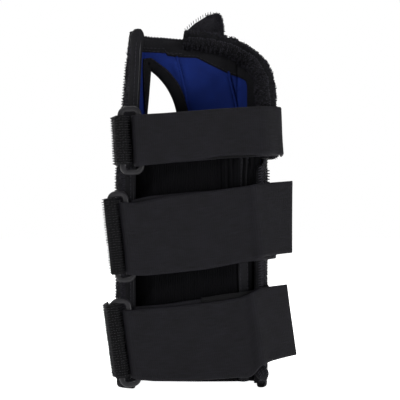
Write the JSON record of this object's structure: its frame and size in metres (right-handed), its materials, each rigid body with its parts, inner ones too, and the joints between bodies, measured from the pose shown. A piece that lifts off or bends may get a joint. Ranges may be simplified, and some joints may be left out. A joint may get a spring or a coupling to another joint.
{
  "type": "wrist splint",
  "caption": "Right-hand wrist splint: a padded black sleeve with blue lining, thumb hole, stretch tongue, a palm stay, and elastic straps folded through loops.",
  "frame": {"origin": "on the resting plane at the forearm end, under the middle of the splint with its straps", "axes": "+Z from the forearm to the fingers, -Y the closing side on the back of the hand, +Y the palm, -X the thumb's side"},
  "size_m": [0.0995, 0.0674, 0.1978],
  "materials": {
    "laminate": "black brushed nylon over foam, matt",
    "lining": "royal blue terry lining, matt",
    "binding": "black woven binding tape, slight sheen",
    "pile": "black brushed pile with overlock thread",
    "rib": "black ribbed stretch knit, matt",
    "elastic": "charcoal woven elastic, matt",
    "hook": "black hook tape",
    "ring": "moulded nylon, satin",
    "stay_metal": "rolled aluminium strip, satin",
    "boning": "natural nylon boning, satin"
  },
  "bodies": {
    "sleeve": {"radial_panel": "laminate", "palmar_panel": "laminate", "ulnar_panel": "laminate", "radial_lining": "lining", "palmar_lining": "lining", "ulnar_lining": "lining", "left_rail": "binding", "left_stay": "boning", "right_edge_binding": "binding", "right_stay": "boning", "right_knob": "laminate", "bottom_rim_binding": "binding", "top_rim_binding": "binding", "thumb_hole_binding": "binding", "palmar_pocket": "laminate", "pocket_peak": "laminate", "ulnar_roll": "pile", "tongue": "rib", "tongue_tape": "binding", "tongue_hem": "binding", "ring_tab_1": "hook", "ring_tab_2": "hook", "ring_tab_3": "hook", "strap_inner_1": "elastic", "strap_inner_2": "elastic", "strap_inner_3": "elastic"},
    "palmar_stay": {"palmar_stay": "stay_metal"},
    "ring_1": {"ring_1": "ring"},
    "strap_1": {"strap_outer_1": "elastic", "hook_patch_1": "hook"},
    "ring_2": {"ring_2": "ring"},
    "strap_2": {"strap_outer_2": "elastic", "hook_patch_2": "hook"},
    "ring_3": {"ring_3": "ring"},
    "strap_3": {"strap_outer_3": "elastic", "hook_patch_3": "hook"}
  },
  "joints": [
    {"name": "palmar_stay_slide", "type": "slide", "parent": "sleeve", "child": "palmar_stay", "axis": [0, 0, 1], "range_m": [0, 0.15]},
    {"name": "ring_1_swing", "type": "hinge", "parent": "sleeve", "child": "ring_1", "pos_m": [-0.04078, -0.03, 0.12686], "axis": [0.0523, 0, -0.9986], "range_deg": [0, 25]},
    {"name": "strap_1_peel", "type": "hinge", "parent": "ring_1", "child": "strap_1", "pos_m": [-0.0316, -0.03, 0.12734], "axis": [0.0523, 0, -0.9986], "range_deg": [0, 105]},
    {"name": "ring_2_swing", "type": "hinge", "parent": "sleeve", "child": "ring_2", "pos_m": [-0.04469, -0.03, 0.0769], "axis": [0.1045, 0, -0.9945], "range_deg": [0, 25]},
    {"name": "strap_2_peel", "type": "hinge", "parent": "ring_2", "child": "strap_2", "pos_m": [-0.03693, -0.03, 0.07771], "axis": [0.1045, 0, -0.9945], "range_deg": [0, 105]},
    {"name": "ring_3_swing", "type": "hinge", "parent": "sleeve", "child": "ring_3", "pos_m": [-0.04298, -0.03, 0.02354], "axis": [0.1392, 0, -0.9903], "range_deg": [0, 25]},
    {"name": "strap_3_peel", "type": "hinge", "parent": "ring_3", "child": "strap_3", "pos_m": [-0.03496, -0.03, 0.02467], "axis": [0.1392, 0, -0.9903], "range_deg": [0, 105]}
  ]
}
